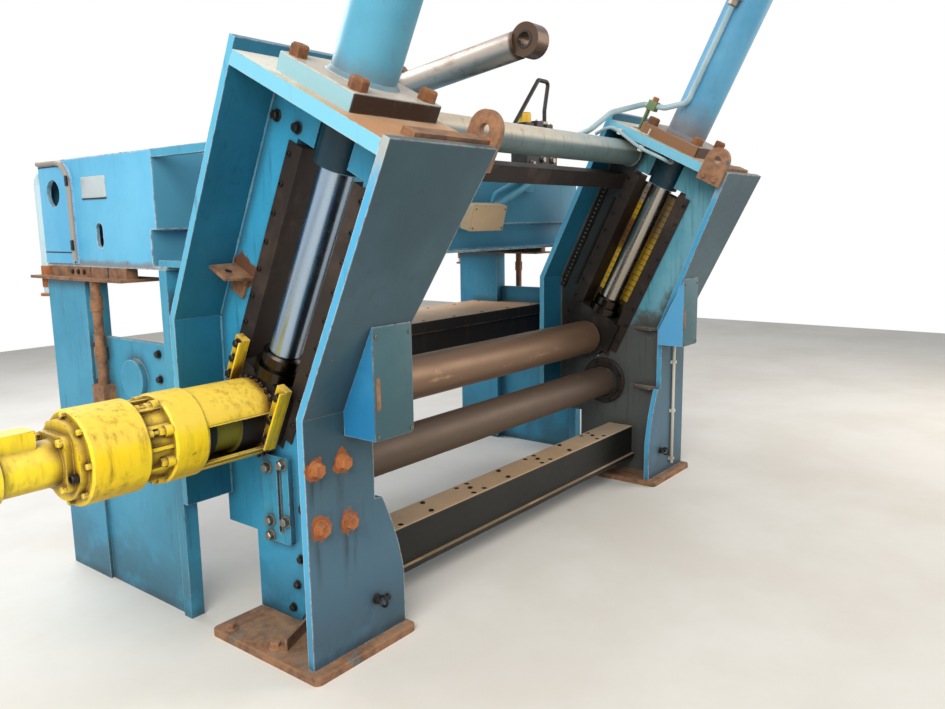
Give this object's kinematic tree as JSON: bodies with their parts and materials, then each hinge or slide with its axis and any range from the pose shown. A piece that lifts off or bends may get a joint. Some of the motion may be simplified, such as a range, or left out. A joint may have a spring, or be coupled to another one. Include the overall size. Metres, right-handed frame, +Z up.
{
  "type": "roller leveler",
  "caption": "Roller leveler stand with two leaning side frames, a sliding pressing roll with its own drive, a fixed lower roll and a bridge with feed table behind.",
  "frame": {"origin": "underside of the left base plate, below the left web centre and the front face of the frame", "axes": "+X from the left frame to the right one, +Y from the front to the rear, +Z up"},
  "size_m": [3.86, 2.5306, 2.8899],
  "materials": {
    "blue_paint": "worn sky blue machine paint, rust at the edges",
    "teal_paint": "dull grey blue paint, stained",
    "rust_steel": "old paint gone to orange brown rust",
    "dark_steel": "greasy dark brown machined steel",
    "roll_steel": "worn bright steel with brown stains",
    "chrome": "hard chrome with weathering",
    "yellow_paint": "yellow paint with black dirt",
    "light_blue_paint": "pale blue paint with rust marks",
    "table_paint": "pale brown worn table plate",
    "grey_box": "grey sheet cover, scuffed"
  },
  "bodies": {
    "frame": {"base_plates": "rust_steel", "left_web": "blue_paint", "right_web": "blue_paint", "left_front_flange": "teal_paint", "right_front_flange": "teal_paint", "left_rear_flange": "blue_paint", "right_rear_flange": "blue_paint", "top_plates": "rust_steel", "guide_rails": "dark_steel", "left_cylinder": "light_blue_paint", "right_cylinder": "light_blue_paint", "lower_bearings": "blue_paint", "cover_boxes": "grey_box", "foot_ribs": "blue_paint", "lifting_lugs": "rust_steel", "stop_blocks": "rust_steel", "cross_beam": "blue_paint", "tie_tube": "light_blue_paint", "rear_tie_bar": "dark_steel", "bridge_box": "blue_paint", "bridge_door": "light_blue_paint", "bridge_shelves": "rust_steel", "bridge_ties": "blue_paint", "front_posts": "light_blue_paint", "rear_posts": "light_blue_paint", "side_plates": "blue_paint", "jack_shafts": "blue_paint", "feed_table": "table_paint", "window_guard": "yellow_paint", "switch_strips": "dark_steel", "ram_stand": "blue_paint", "ram_cylinder": "light_blue_paint", "valve_block": "dark_steel", "pressure_pipe": "light_blue_paint", "junction_box": "grey_box"},
    "press": {"press_rods": "chrome", "left_chock": "dark_steel", "right_chock": "dark_steel", "drive_guard": "yellow_paint", "drive_gear_case": "yellow_paint", "drive_motor": "yellow_paint"},
    "upper_roll": {"upper_roll": "roll_steel", "drive_coupling": "dark_steel"},
    "lower_roll": {"lower_roll": "roll_steel"},
    "ram": {"ram_rod": "chrome"}
  },
  "joints": [
    {"name": "press_slide", "type": "slide", "parent": "frame", "child": "press", "axis": [0, -0.4462, 0.8949], "range_m": [0, 0.65]},
    {"name": "upper_roll_spin", "type": "hinge", "parent": "press", "child": "upper_roll", "pos_m": [1.26, 0.50317, 0.83304], "axis": [1, 0, 0], "continuous": true},
    {"name": "lower_roll_spin", "type": "hinge", "parent": "frame", "child": "lower_roll", "pos_m": [1.26, 0.39117, 0.56604], "axis": [1, 0, 0], "continuous": true},
    {"name": "ram_slide", "type": "slide", "parent": "frame", "child": "ram", "axis": [0, 0.9895, -0.1444], "range_m": [0, 0.6]}
  ]
}
